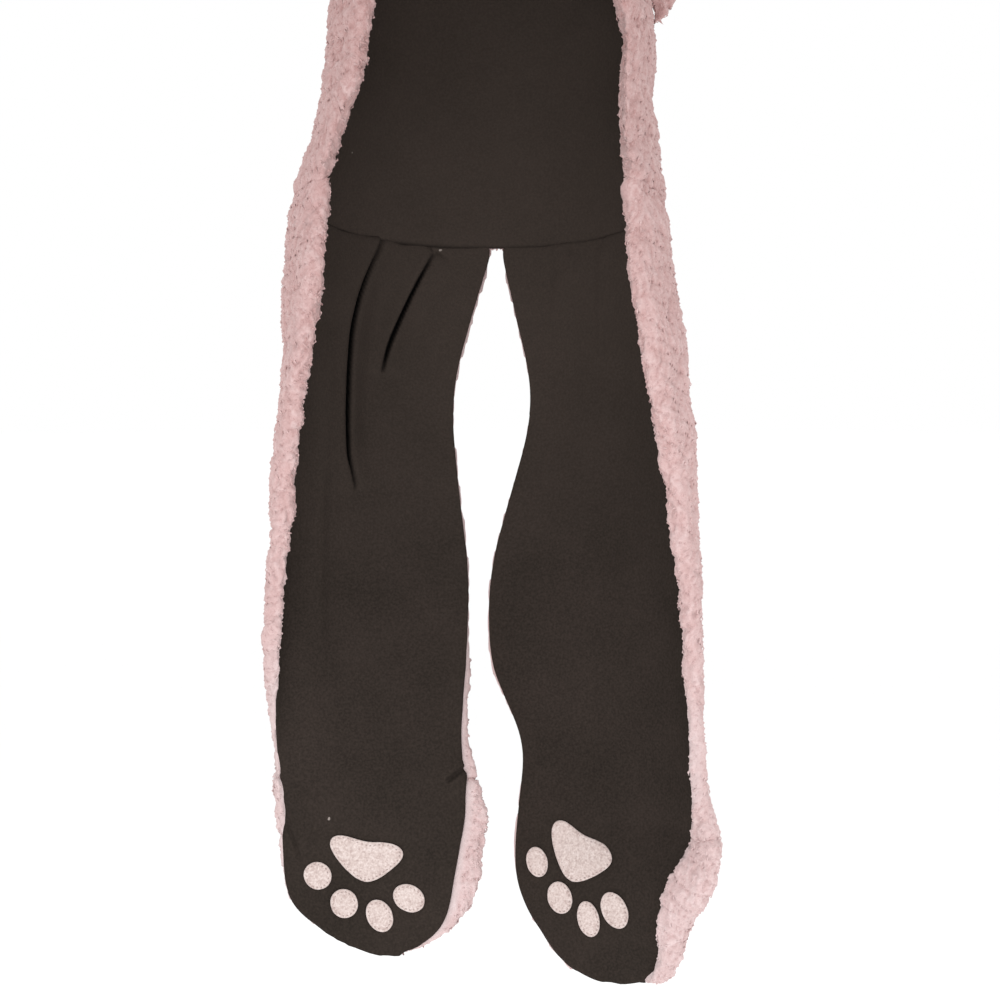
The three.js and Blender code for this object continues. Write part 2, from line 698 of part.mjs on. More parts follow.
// Rounded ear: a thick plush disc with a hollow front, set into the side of the dome
function ear(side) {
  const disc = new THREE.SphereGeometry(1, 16, 8);
  disc.rotateX(Math.PI / 2);
  const p = disc.attributes.position;
  for (let i = 0; i < p.count; i += 1) {
    const round = Math.hypot(p.getX(i), p.getZ(i));
    const locks = lockHeightAt(p.getX(i) * earRadius, p.getZ(i) * earRadius) * 0.6;
    const cup = earCup * (1 - round * round);
    const thick = p.getY(i) * (earThickness / 2) + cup;
    p.setXYZ(i, p.getX(i) * (earRadius + locks), thick, p.getZ(i) * (earRadius + locks));
  }
  const tilt = THREE.MathUtils.degToRad(earTilt[side]);
  const reach = hoodHalfWidth + liningThickness + furThickness - earSetIn;
  disc.rotateY(signs[side] * tilt);
  disc.translate(
    signs[side] * reach * Math.sin(tilt),
    earSetBack,
    -crownHeight + reach * Math.cos(tilt),
  );
  const hoodBody = liningThickness + furThickness + 2 * clearance;
  return toSolid(disc).subtract(bowl(-0.5 * hoodHalfWidth, hoodBody, 1));
}

const hoodScarf = new THREE.Group();
addPiece(hoodScarf, 'hood_fur', hoodFur(), plush);
addPiece(hoodScarf, 'hood_lining', hoodLining(), fleece);
for (const side of ['left', 'right']) {
  const seam = seamBlock(true);
  addPiece(hoodScarf, `${side}_arm_fur`, armFur(side).subtract(seam), plush);
  addPiece(hoodScarf, `${side}_arm_lining`, armLining(side, 0).subtract(seam), fleece);
  addPiece(hoodScarf, `${side}_paw_fur`, pawFur(side), plush);
  addPiece(hoodScarf, `${side}_ear`, ear(side), plush);
  const palm = pad(side, palms[side], [palmWidth, palmHeight], palmOutline);
  addPiece(hoodScarf, `${side}_palm_pad`, palm, felt);
  toes[side].forEach((row, i) => {
    const toe = pad(side, row, [toeWidth, toeHeight], ovalOutline);
    addPiece(hoodScarf, `${side}_toe_pad_${i + 1}`, toe, felt);
  });
}

export default hoodScarf;
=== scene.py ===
"""Animal hood scarf: curly plush outside, dark fleece lining, felt paw pads sewn on.

Metres, +Z up, front towards -Y, +X towards the wearer's left. The origin is the inside of
the crown.
"""
import json
import math

import bmesh
import bpy
import numpy as np
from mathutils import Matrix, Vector, noise
from mathutils.bvhtree import BVHTree

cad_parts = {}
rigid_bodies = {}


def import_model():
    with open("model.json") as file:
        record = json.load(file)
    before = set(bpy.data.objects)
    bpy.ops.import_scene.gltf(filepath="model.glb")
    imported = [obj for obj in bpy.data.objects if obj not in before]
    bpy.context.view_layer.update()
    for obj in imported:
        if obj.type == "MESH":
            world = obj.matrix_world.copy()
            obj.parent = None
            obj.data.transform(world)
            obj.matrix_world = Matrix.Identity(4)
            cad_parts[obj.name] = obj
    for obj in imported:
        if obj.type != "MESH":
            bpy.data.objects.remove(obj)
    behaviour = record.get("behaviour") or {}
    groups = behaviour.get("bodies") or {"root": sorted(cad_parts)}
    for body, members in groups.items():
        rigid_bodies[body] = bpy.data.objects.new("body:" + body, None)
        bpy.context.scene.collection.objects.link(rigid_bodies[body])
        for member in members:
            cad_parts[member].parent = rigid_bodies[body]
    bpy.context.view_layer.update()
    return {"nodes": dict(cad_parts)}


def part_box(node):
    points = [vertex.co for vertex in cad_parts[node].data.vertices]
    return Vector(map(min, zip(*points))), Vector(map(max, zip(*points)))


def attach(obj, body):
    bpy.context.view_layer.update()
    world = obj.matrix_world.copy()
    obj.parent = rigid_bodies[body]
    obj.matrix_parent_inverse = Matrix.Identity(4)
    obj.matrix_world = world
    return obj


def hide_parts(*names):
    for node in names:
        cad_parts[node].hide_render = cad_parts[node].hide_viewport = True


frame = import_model()
cad = frame["nodes"]

MM = 0.001
SIDES = {"left": 1, "right": -1}      # the sign of each side along X


# Camera, light and backdrop

LAMP_WIDTH = 1.6
LAMPS = [  # name, place, level of the spot it is turned to, and power in watts
    ("key", (-0.4, -2.1, -0.3), -0.4, 13), ("fill", (1.1, -1.7, -1.0), -0.5, 7),
    ("back", (0.4, 2.2, 0.8), -0.4, 16),
]


def looking(obj, place, target):
    """Puts a lamp or the camera at a place, turned to a target."""
    obj.location = place
    turn = (Vector(target) - Vector(place)).to_track_quat("-Z", "Y")
    obj.rotation_euler = turn.to_euler()
    bpy.context.scene.collection.objects.link(obj)


def make_camera():
    """Long lens 1.3 m before the scarf, as high as the upper part of its arms."""
    lens = bpy.data.cameras.new("camera")
    lens.lens = 71.4
    lens.sensor_width = 36
    lens.shift_x = 0.011
    lens.clip_end = 60
    camera = bpy.data.objects.new("camera", lens)
    looking(camera, place=(0.068, -1.298, -0.282), target=(0, 0, -0.391))
    bpy.context.scene.camera = camera


def soft_light(name, place, level, power):
    """Large round lamp, turned to the scarf's middle line."""
    lamp = bpy.data.lights.new(name, "AREA")
    lamp.shape = "DISK"
    lamp.size = LAMP_WIDTH
    lamp.energy = power
    looking(bpy.data.objects.new(name, lamp), place, (0, 0, level))


def make_studio():
    """Pale round floor with a turned-up rim, under a white sky and three soft lamps."""
    paint = new_material("studio_paint")
    matt = add(paint.node_tree, "ShaderNodeBsdfPrincipled", {
        "Base Color": linear("#ffffff"), "Roughness": 0.9, "Specular IOR Level": 0.1})
    add(paint.node_tree, "ShaderNodeOutputMaterial", {"Surface": matt.outputs["BSDF"]})
    bm = bmesh.new()
    flat, rim, level, steps = 6.0, 1.5, -1.45, 8
    profile = [(0.0, 0.0)]
    for step in range(steps + 1):
        turn = math.pi / 3 * step / steps
        profile.append((flat + rim * math.sin(turn), rim * (1 - math.cos(turn))))
    points = [bm.verts.new((x, 0, z + level)) for x, z in profile]
    edges = [bm.edges.new(pair) for pair in zip(points, points[1:])]
    bmesh.ops.spin(bm, geom=points + edges, cent=(0, 0, 0), axis=(0, 0, 1),
                   angle=2 * math.pi, steps=64, use_merge=True)
    bmesh.ops.remove_doubles(bm, verts=bm.verts, dist=1e-5)
    bmesh.ops.recalc_face_normals(bm, faces=bm.faces)
    finished(bm, "floor", paint)
    for lamp in LAMPS:
        soft_light(*lamp)
    world = bpy.data.worlds.new("studio")
    world.use_nodes = True
    sky = world.node_tree.nodes["Background"]
    sky.inputs["Color"].default_value = linear("#ffffff")
    sky.inputs["Strength"].default_value = 1.0
    bpy.context.scene.world = world
    bpy.context.scene.view_settings.view_transform = "Standard"


# Meshes

def finished(bm, name, material):
    """Turns a bmesh into a smooth-shaded object with one material."""
    mesh = bpy.data.meshes.new(name)
    bm.to_mesh(mesh)
    bm.free()
    mesh.shade_smooth()
    mesh.materials.append(material)
    obj = bpy.data.objects.new(name, mesh)
    bpy.context.scene.collection.objects.link(obj)
    return obj


def baked(obj):
    """Applies all modifiers of an object to its mesh."""
    bpy.context.view_layer.update()
    graph = bpy.context.evaluated_depsgraph_get()
    mesh = bpy.data.meshes.new_from_object(obj.evaluated_get(graph),
                                           preserve_all_data_layers=True, depsgraph=graph)
    obj.modifiers.clear()
    obj.data = mesh
    return obj


def copy_of(node, name, material):
    """Copy of a solid as one merged mesh, its triangles paired into quads."""
    bm = bmesh.new()
    bm.from_mesh(cad[node].data)
    bmesh.ops.remove_doubles(bm, verts=bm.verts, dist=2e-6)
    bmesh.ops.join_triangles(bm, faces=bm.faces, angle_face_threshold=math.radians(50),
                             angle_shape_threshold=math.radians(150))
    return finished(bm, name, material)


def subdivided(node, name, material, levels):
    """Copy of a solid made smooth, its faces divided a number of times."""
    piece = copy_of(node, name, material)
    smooth = piece.modifiers.new("subdivision", "SUBSURF")
    smooth.levels = smooth.render_levels = levels
    return baked(piece)


def places(mesh):
    """Where the points of a mesh are, a row for each."""
    values = np.empty(len(mesh.vertices) * 3, np.float32)
    mesh.vertices.foreach_get("co", values)
    return values.reshape(-1, 3).astype(float)


def facings(mesh):
    """Which way the surface faces at each point of a mesh."""
    values = np.empty(len(mesh.vertices) * 3, np.float32)
    mesh.vertex_normals.foreach_get("vector", values)
    return values.reshape(-1, 3).astype(float)


def put(mesh, points):
    """Moves the points of a mesh to new places."""
    mesh.vertices.foreach_set("co", points.astype(np.float32).ravel())
    mesh.update()


def keep(mesh, name, values):
    """Stores one number or one vector for each vertex."""
    kind, key = ("FLOAT", "value") if values.ndim == 1 else ("FLOAT_VECTOR", "vector")
    layer = mesh.attributes.new(name, kind, "POINT")
    layer.data.foreach_set(key, values.astype(np.float32).ravel())


def refine(mesh, chosen, rounds=0):
    """Divides the faces between chosen points once more, with rounds of smoothing after."""
    bm = bmesh.new()
    bm.from_mesh(mesh)
    bm.verts.ensure_lookup_table()
    edges = [e for e in bm.edges if all(chosen[v.index] for v in e.verts)]
    bmesh.ops.subdivide_edges(bm, edges=edges, cuts=1, use_grid_fill=True)
    for _ in range(rounds):
        bmesh.ops.smooth_vert(bm, verts=bm.verts, factor=0.5, use_axis_x=True,
                              use_axis_y=True, use_axis_z=True)
    bm.to_mesh(mesh)
    bm.free()
    mesh.shade_smooth()


def unit(vectors):
    """Vectors brought to a length of one."""
    return vectors / (np.linalg.norm(vectors, axis=1)[:, None] + 1e-9)


def noisy(points, size, seed):
    """Soft noise between -1 and 1, with lumps of a size in millimetres."""
    offset = Vector((seed * 17.3, seed * 5.1, seed * 9.7))
    scale = 1 / (size * MM)
    return np.array([noise.noise(Vector(p) * scale + offset) for p in points])


def noisy_vector(points, size, seed):
    """The same as noisy, with a vector for each point."""
    offset = Vector((seed * 3.7, seed * 11.9, seed * 7.3))
    scale = 1 / (size * MM)
    return np.array([noise.noise_vector(Vector(p) * scale + offset) for p in points])


def surface_of(node):
    """Search tree over a solid's faces."""
    mesh = cad[node].data
    return BVHTree.FromPolygons([v.co for v in mesh.vertices],
                                [p.vertices for p in mesh.polygons])


def dress(piece, node):
    """Makes a piece stand for its solid: hangs it on the root body and hides the solid."""
    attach(piece, "root")
    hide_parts(node)


# Materials

def linear(colour):
    """Linear colour of an sRGB hex value."""
    parts = [int(colour[i:i + 2], 16) / 255 for i in (1, 3, 5)]
    return [c / 12.92 if c <= 0.04045 else ((c + 0.055) / 1.055) ** 2.4 for c in parts] + [1]


def new_material(name):
    """Empty node material."""
    material = bpy.data.materials.new(name)
    material.use_nodes = True
    material.node_tree.nodes.clear()
    return material


def add(tree, kind, inputs=None, stops=(), **settings):
    """Adds a node with its settings, and a ramp's (position, colour) stops.

    An input is a value, or a socket to link to it.
    """
    node = tree.nodes.new(kind)
    for key, value in settings.items():
        setattr(node, key, value)
    for key, value in (inputs or {}).items():
        if isinstance(value, bpy.types.NodeSocket):
            tree.links.new(value, node.inputs[key])
        else:
            node.inputs[key].default_value = value
    for number, (position, colour) in enumerate(stops):
        points = node.color_ramp.elements
        point = points[number] if number < 2 else points.new(position)
        point.position, point.color = position, linear(colour)
    return node


def plush_material():
    """Knitted polyester plush: matt, pale at the tips of its tufts with painted shade between
    them, painted shade that deepens towards the top, and a painted sheen where the pile meets
    the lining.

    Its tone drifts in patches 34 mm across. The fibres are too fine to show, so bundles of
    them, 2.4 mm across, are drawn instead.
    """
    material = new_material("polyester_plush")
    tree = material.node_tree
    where = add(tree, "ShaderNodeTexCoord").outputs["Object"]
    # depth, tone and height carry painted shade and rim a painted sheen; on the locks, tone is a
    # random tone
    depth, tone, height, rim = (
        add(tree, "ShaderNodeAttribute", attribute_name=name).outputs["Fac"]
        for name in ("depth", "tone", "height", "rim"))
    patch = add(tree, "ShaderNodeTexNoise", {"Vector": where, "Scale": 1 / (34 * MM),
                                             "Detail": 3.0})
    curls = add(tree, "ShaderNodeTexNoise", {"Vector": where, "Scale": 1 / (2.4 * MM),
                                             "Detail": 3.0, "Distortion": 1.6})
    # painted shade: darker where the relief sinks between tufts, curls and wrinkles
    valleys = add(tree, "ShaderNodeValToRGB", {"Fac": depth}, [
        (0.38, "#7a504d"), (0.56, "#a87f7c"), (0.72, "#c19b98"), (0.95, "#d3b7b5")])
    # random tone of each lock; on the shell it follows the small curls, as painted shade in
    # their valleys
    lock_tone_and_curl_shade = add(tree, "ShaderNodeValToRGB", {"Fac": tone}, [
        (0.0, "#a07d7a"), (0.45, "#bd9c9a"), (0.8, "#cfb5b3"), (1.0, "#e8d8d7")])
    patches = add(tree, "ShaderNodeValToRGB", {"Fac": patch.outputs["Fac"]}, [
        (0.3, "#b4928f"), (0.7, "#cab0af")])
    # painted shade: the plush gets darker towards the top
    levels = add(tree, "ShaderNodeValToRGB", {"Fac": height}, [
        (0.0, "#dccaca"), (0.45, "#cba9a7"), (1.0, "#84514b")])
    flecks = add(tree, "ShaderNodeValToRGB", {"Fac": curls.outputs["Fac"]}, [
        (0.32, "#9c7774"), (0.5, "#bf9e9c"), (0.72, "#dfcac9")])
    colour = valleys.outputs["Color"]
    # layers mixed in; the last is a painted sheen along the pile's edge by the lining
    for share, layer in ((0.45, lock_tone_and_curl_shade.outputs["Color"]), (0.25, patches.outputs["Color"]),
                         (0.35, flecks.outputs["Color"]), (0.35, levels.outputs["Color"]),
                         (rim, linear("#cbc2c2"))):
        colour = add(tree, "ShaderNodeMix", {0: share, 6: colour, 7: layer},
                     data_type="RGBA").outputs[2]
    bump = add(tree, "ShaderNodeBump", {"Height": curls.outputs["Fac"], "Strength": 0.55,
                                        "Distance": 0.9 * MM})
    surface = add(tree, "ShaderNodeBsdfPrincipled", {
        "Base Color": colour, "Roughness": 0.92, "Sheen Weight": 0.22, "Sheen Roughness": 0.6,
        "Sheen Tint": linear("#efdedb"), "Specular IOR Level": 0.15,
        "Normal": bump.outputs["Normal"]})
    add(tree, "ShaderNodeOutputMaterial", {"Surface": surface.outputs["BSDF"]})
    return material


def fleece_material():
    """Brushed polyester fleece: deep warm brown, with a short even nap and a little lint.
    Painted shade darkens its creases, a darker line marks its seam, and painted light makes it
    paler towards the top.

    Its tone drifts in patches 45 mm across. The nap is too fine to show, so it is drawn
    1.2 to 1.5 mm coarse.
    """
    material = new_material("brushed_fleece")
    tree = material.node_tree
    where = add(tree, "ShaderNodeTexCoord").outputs["Object"]
    crease_shade_and_seam_mark, painted_top_light = (add(tree, "ShaderNodeAttribute", attribute_name=name).outputs["Fac"]
                    for name in ("crease_shade_and_seam_mark", "painted_top_light"))
    patch = add(tree, "ShaderNodeTexNoise", {"Vector": where, "Scale": 1 / (45 * MM),
                                             "Detail": 3.0})
    nap = add(tree, "ShaderNodeTexNoise", {"Vector": where, "Scale": 1 / (1.5 * MM),
                                           "Detail": 5.0})
    specks = add(tree, "ShaderNodeTexNoise", {"Vector": where, "Scale": 1 / (6.5 * MM),
                                              "Detail": 0.0})
    grain = add(tree, "ShaderNodeTexNoise", {"Vector": where, "Scale": 1 / (1.2 * MM),
                                             "Detail": 4.0})
    patches = add(tree, "ShaderNodeValToRGB", {"Fac": patch.outputs["Fac"]}, [
        (0.3, "#2a2521"), (0.7, "#342d29")])
    fibres = add(tree, "ShaderNodeValToRGB", {"Fac": nap.outputs["Fac"]}, [
        (0.35, "#221d1a"), (0.75, "#413833")])
    lint = add(tree, "ShaderNodeValToRGB", {"Fac": specks.outputs["Fac"]}, [
        (0.905, "#000000"), (0.92, "#ffffff")])
    colour = patches.outputs["Color"]
    # painted light paler towards the top, lint, then painted shade in the creases with a darker
    # seam line
    for share, layer in ((0.4, fibres.outputs["Color"]), (painted_top_light, linear("#5a4f49")),
                         (lint.outputs["Color"], linear("#8f857f")),
                         (crease_shade_and_seam_mark, linear("#020202"))):
        colour = add(tree, "ShaderNodeMix", {0: share, 6: colour, 7: layer},
                     data_type="RGBA").outputs[2]
    bump = add(tree, "ShaderNodeBump", {"Height": grain.outputs["Fac"], "Strength": 0.4,
                                        "Distance": 0.4 * MM})
    surface = add(tree, "ShaderNodeBsdfPrincipled", {
        "Base Color": colour, "Roughness": 0.94, "Sheen Weight": 0.03, "Sheen Roughness": 0.45,
        "Sheen Tint": linear("#8a7c74"), "Specular IOR Level": 0.05,
        "Normal": bump.outputs["Normal"]})
    add(tree, "ShaderNodeOutputMaterial", {"Surface": surface.outputs["BSDF"]})
    return material


def felt_material():
    """Pressed felt: off-white with a pink cast, mottled where its fibres lie across.

    The mottle is 3.2 mm across. The fibres are too fine to show, so they are drawn 1.2 to
    1.4 mm coarse.
    """
    material = new_material("pressed_felt")
    tree = material.node_tree
    where = add(tree, "ShaderNodeTexCoord").outputs["Object"]
    mottle = add(tree, "ShaderNodeTexNoise", {"Vector": where, "Scale": 1 / (3.2 * MM),
                                              "Detail": 5.0, "Distortion": 1.4})
    hairs = add(tree, "ShaderNodeTexNoise", {"Vector": where, "Scale": 1 / (1.2 * MM),
                                             "Detail": 4.0})
    grain = add(tree, "ShaderNodeTexNoise", {"Vector": where, "Scale": 1 / (1.4 * MM),
                                             "Detail": 5.0})
    patches = add(tree, "ShaderNodeValToRGB", {"Fac": mottle.outputs["Fac"]}, [
        (0.32, "#ad9893"), (0.5, "#ccbbb5"), (0.7, "#ded1cd")])
    fibres = add(tree, "ShaderNodeValToRGB", {"Fac": hairs.outputs["Fac"]}, [
        (0.35, "#a8938e"), (0.65, "#dbceca")])
    colour = add(tree, "ShaderNodeMix", {0: 0.4, 6: patches.outputs["Color"],
                                         7: fibres.outputs["Color"]}, data_type="RGBA")
    bump = add(tree, "ShaderNodeBump", {"Height": grain.outputs["Fac"], "Strength": 0.5,
                                        "Distance": 0.5 * MM})
    surface = add(tree, "ShaderNodeBsdfPrincipled", {
        "Base Color": colour.outputs[2], "Roughness": 0.95, "Sheen Weight": 0.1,
        "Specular IOR Level": 0.15, "Normal": bump.outputs["Normal"]})
    add(tree, "ShaderNodeOutputMaterial", {"Surface": surface.outputs["BSDF"]})
    return material


def thread_material():
    """Spun polyester sewing thread: a touch deeper than the felt, with a twist of 0.8 mm."""
    material = new_material("sewing_thread")
    tree = material.node_tree
    where = add(tree, "ShaderNodeTexCoord").outputs["Object"]
    twist = add(tree, "ShaderNodeTexNoise", {"Vector": where, "Scale": 1 / (0.8 * MM),
                                             "Detail": 3.0})
    colour = add(tree, "ShaderNodeValToRGB", {"Fac": twist.outputs["Fac"]}, [
        (0.3, "#9a8783"), (0.7, "#b9a7a2")])
    surface = add(tree, "ShaderNodeBsdfPrincipled", {
        "Base Color": colour.outputs["Color"], "Roughness": 0.7, "Sheen Weight": 0.1})
    add(tree, "ShaderNodeOutputMaterial", {"Surface": surface.outputs["BSDF"]})
    return material


# Plush

LOCKS = [  # length, width, arch and sideways swing of one lock of pile, in millimetres
    (3.6, 2.0, 0.7, 1.2), (3.0, 1.9, 0.8, -1.1), (4.2, 1.8, 0.6, 1.7), (2.8, 2.3, 0.8, -0.6),
    (3.9, 1.7, 0.6, -1.6), (3.3, 2.1, 0.7, 0.8),
]
LOCK_THICKNESS = 1.0
LOCK_SINK = 0.45              # how deep a lock's root lies in the pile, in mm
LOCK_DIVE = 0.8               # how much deeper its tip bends back into it
LOCK_ROOT = 0.5               # fullness of a lock at its root and at its middle
LOCK_MIDDLE = 1.9
LOCK_SMALLEST = 0.7           # range of the locks' sizes, as shares of those above
LOCK_LARGEST = 1.25
LOCK_DENSITY = 900000.0       # most locks on a square metre, before they are spaced
LAY_TURN = 60                 # over what distance the lay turns from front to back, in mm
TUFT, TUFT_HEIGHT = 8.0, 5.0  # spread and height of the large tufts, in mm
CURL, CURL_HEIGHT = 4.2, 3.4  # and of the small curls on them
ROLL, ROLL_HEIGHT = 10, 8.0   # and of the wrinkles that cross the plush
ROLL_TOP = 0.16               # share at which a wrinkle is cut flat
ROLL_SLANT = 0.45             # how steeply the wrinkles of the plush rise to the middle
SWELL, SWELL_HEIGHT = 26, 1.2         # and of the broad swellings under them
MEAN_HEIGHT = 3.2             # mean height of all these, which is taken off again, in mm
SEAM_REACH = 5.0              # how far from a seam the plush is drawn towards it, in mm
SEAM_CLOSE = 2.2              # how far it is drawn there
PILE_START = 1.6              # gap to the lining at which the pile starts, in mm
RIM_START, RIM_FADE = 2, 4    # gap at which the painted sheen on the pile's rim starts to fade, and over what
RIM_PALENESS = 0.4
HEM_SLICE = 15                # half height of the slice of lining that sets a hem, in mm
HEM_INSIDE, HEM_OUTSIDE = 2, 5        # how far the plain hem reaches either way, in mm
HEM_FADE = 3
LOWEST, HIGHEST = -0.66, -0.04        # levels between which painted shade deepens the plush's colour towards the top
TIPS = {  # middle of the paw's tip in the front view, and how much fuller it is made, in mm
    "left": (88, -668, 3.0), "right": (-60, -650, 1.5),
}
TIP_TURN, TIP_STEP = 84, 4    # how far round a tip is evened out, and in what steps, in degrees
TIP_SLICE = 5                 # half width of the slice in which the tip's edge is sought
TIP_EASE = 16                 # width over which its outline is evened out
TIP_END, TIP_FADE = 76, 30    # where the evening ends, and over what it fades


def lock_shapes(material):
    """Small curved locks of pile, rooted at the origin and growing along +Z, facing +Y."""
    shapes = bpy.data.collections.new("lock_shapes")
    for number, (length, width, arch, swing) in enumerate(LOCKS):
        bm = bmesh.new()
        bmesh.ops.create_cone(bm, segments=3, radius1=0.5, radius2=0, depth=1)
        sides = [e for e in bm.edges if abs(e.verts[0].co.z - e.verts[1].co.z) > 0.5]
        bmesh.ops.subdivide_edges(bm, edges=sides, cuts=1)
        for vert in bm.verts:
            t = vert.co.z + 0.5
            full = LOCK_MIDDLE if 0.3 < t < 0.7 else LOCK_ROOT
            across = vert.co.x * full * width + swing * t * t
            up = vert.co.y * full * LOCK_THICKNESS + arch * math.sin(math.pi * t)
            vert.co = Vector((across, up - LOCK_SINK - LOCK_DIVE * t * t, t * length)) * MM
        lock = finished(bm, "lock_shape_%d" % number, material)
        lock.data.shade_flat()
        bpy.context.scene.collection.objects.unlink(lock)
        shapes.objects.link(lock)
    return shapes


def pile_nodes(shapes, spacing, seed):
    """Node group that sets locks on a shell along its stored comb direction."""
    tree = bpy.data.node_groups.new("pile", "GeometryNodeTree")
    for way in ("INPUT", "OUTPUT"):
        tree.interface.new_socket("Geometry", in_out=way, socket_type="NodeSocketGeometry")
    shell = add(tree, "NodeGroupInput").outputs[0]
    cover = add(tree, "GeometryNodeInputNamedAttribute", {"Name": "outer"}, data_type="FLOAT")
    comb = add(tree, "GeometryNodeInputNamedAttribute", {"Name": "comb"},
               data_type="FLOAT_VECTOR")
    scatter = add(tree, "GeometryNodeDistributePointsOnFaces", {
        "Mesh": shell, "Distance Min": spacing * MM, "Density Max": LOCK_DENSITY,
        "Density Factor": cover.outputs["Attribute"], "Seed": seed},
        distribute_method="POISSON")
    tone = add(tree, "FunctionNodeRandomValue", {"Seed": seed + 1}, data_type="FLOAT")
    toned = add(tree, "GeometryNodeStoreNamedAttribute", {
        "Geometry": scatter.outputs["Points"], "Name": "tone", "Value": tone.outputs[1]},
        data_type="FLOAT", domain="POINT")
    grow = add(tree, "FunctionNodeAlignRotationToVector", {
        "Vector": comb.outputs["Attribute"]}, axis="Z")
    face = add(tree, "FunctionNodeAlignRotationToVector", {
        "Rotation": grow.outputs[0], "Vector": scatter.outputs["Normal"]},
        axis="Y", pivot_axis="Z")
    size = add(tree, "FunctionNodeRandomValue", {
        2: LOCK_SMALLEST, 3: LOCK_LARGEST, "Seed": seed + 2}, data_type="FLOAT")
    pick = add(tree, "FunctionNodeRandomValue", {4: 0, 5: len(LOCKS) - 1, "Seed": seed + 3},
               data_type="INT")
    kinds = add(tree, "GeometryNodeCollectionInfo", {
        "Collection": shapes, "Separate Children": True, "Reset Children": True})
    locks = add(tree, "GeometryNodeInstanceOnPoints", {
        "Points": toned.outputs[0], "Instance": kinds.outputs[0], "Pick Instance": True,
        "Instance Index": pick.outputs[2], "Rotation": face.outputs[0],
        "Scale": size.outputs[1]})
    real = add(tree, "GeometryNodeRealizeInstances", {"Geometry": locks.outputs[0]})
    both = add(tree, "GeometryNodeJoinGeometry", {"Geometry": shell})
    tree.links.new(real.outputs[0], both.inputs[0])
    add(tree, "NodeGroupOutput", {0: both.outputs[0]})
    return tree


def lay_of_pile(points, normals, seed):
    """Direction the pile is brushed in: across the front edges, and down at the back."""
    front = np.clip((LAY_TURN * MM - points[:, 1]) / (LAY_TURN * MM), 0, 1)
    left = np.clip(points[:, 0] / (LAY_TURN * MM), -1, 1) * 0.5 + 0.5
    across = front * (0.3 - 0.6 * left)
    down = -0.9 + front * (1.0 - left) * 0.35
    lay = np.stack([across, np.zeros(len(points)), down], 1)
    lay += noisy_vector(points, 34, seed) * 0.9 + noisy_vector(points, 9, seed + 5) * 0.7
    lay -= normals * (lay * normals).sum(1)[:, None]
    return unit(lay)


def bare_hem(points, backing):
    """0 along the plain inner hems of the arms, where the lining ends, and 1 elsewhere."""
    cloth = places(cad[backing].data)
    hem = np.array([np.abs(cloth[np.abs(cloth[:, 2] - z) < HEM_SLICE * MM, 0]).min(initial=1)
                    for z in points[:, 2]])
    past = np.abs(points[:, 0]) - hem
    bare = np.maximum(-past - HEM_INSIDE * MM, past - HEM_OUTSIDE * MM)
    return np.clip(bare / (HEM_FADE * MM), 0, 1)


def gap_to(points, node):
    """Distance from each point to a solid's surface."""
    surface = surface_of(node)
    return np.array([surface.find_nearest(Vector(p))[3] for p in points])


def outside_of(points, backing):
    """1 on the pile side of a plush piece, and 0 on the side that lies on the lining."""
    if not backing:
        return np.ones(len(points))
    outer = np.clip((gap_to(points, backing) - PILE_START * MM) / MM, 0, 1)
    return outer * bare_hem(points, backing) if "arm" in backing else outer


def painted_pile_rim_sheen(points, backing):
    """How much painted sheen pales the pile's ends where they meet the lining, and 0 elsewhere.
    """
    if not backing:
        return np.zeros(len(points))
    past = (gap_to(points, backing) - RIM_START * MM) / (RIM_FADE * MM)
    return RIM_PALENESS * np.clip(1 - past, 0, 1)


def tufts(points, lay, size, seed):
    """Rounded tufts between 0 and about 0.6, drawn out along the lay, with thin valleys."""
    total = 0
    steps = (-0.75, -0.25, 0.25, 0.75)
    for step in steps:
        total = total + np.abs(noisy(points + lay * step * size * MM, size, seed))
    return total / len(steps)


def sewn_to(points, nodes):
    """Shift that closes the seams of a piece against its neighbours."""
    shift = np.zeros(points.shape)
    for node in nodes:
        surface = surface_of(node)
        for i, point in enumerate(points):
            near, _, _, gap = surface.find_nearest(Vector(point), SEAM_REACH * MM)
            if near:
                pull = SEAM_CLOSE * (1 - gap / (SEAM_REACH * MM)) * MM
                shift[i] += (np.array(near) - point) / max(gap, 1e-6) * pull
    return shift


def rounded_tip(points, side):
    """Evens out the outline of a paw's tip, seen from the front."""
    x, z, fuller = TIPS[side]
    flat = points[:, [0, 2]] / MM - (x, z)
    reach = np.linalg.norm(flat, axis=1)
    turn = np.degrees(np.arctan2(flat[:, 0], -flat[:, 1]))
    ways = np.arange(-TIP_TURN, TIP_TURN + 1, TIP_STEP)
    rim = np.array([reach[np.abs(turn - way) < TIP_SLICE].max(initial=1) for way in ways])
    even = np.array([np.average(rim, weights=np.exp(-((ways - way) / TIP_EASE) ** 2))
                     for way in ways])
    fade = np.clip((TIP_END - np.abs(turn)) / TIP_FADE, 0, 1)
    own = np.interp(turn, ways, rim)
    gain = (np.interp(turn, ways, even) - own + fuller) * fade
    near = np.clip(reach / own, 0, 1) ** 2
    moved = points.copy()
    moved[:, [0, 2]] += flat / (reach[:, None] + 1e-9) * (gain * near)[:, None] * MM
    return moved


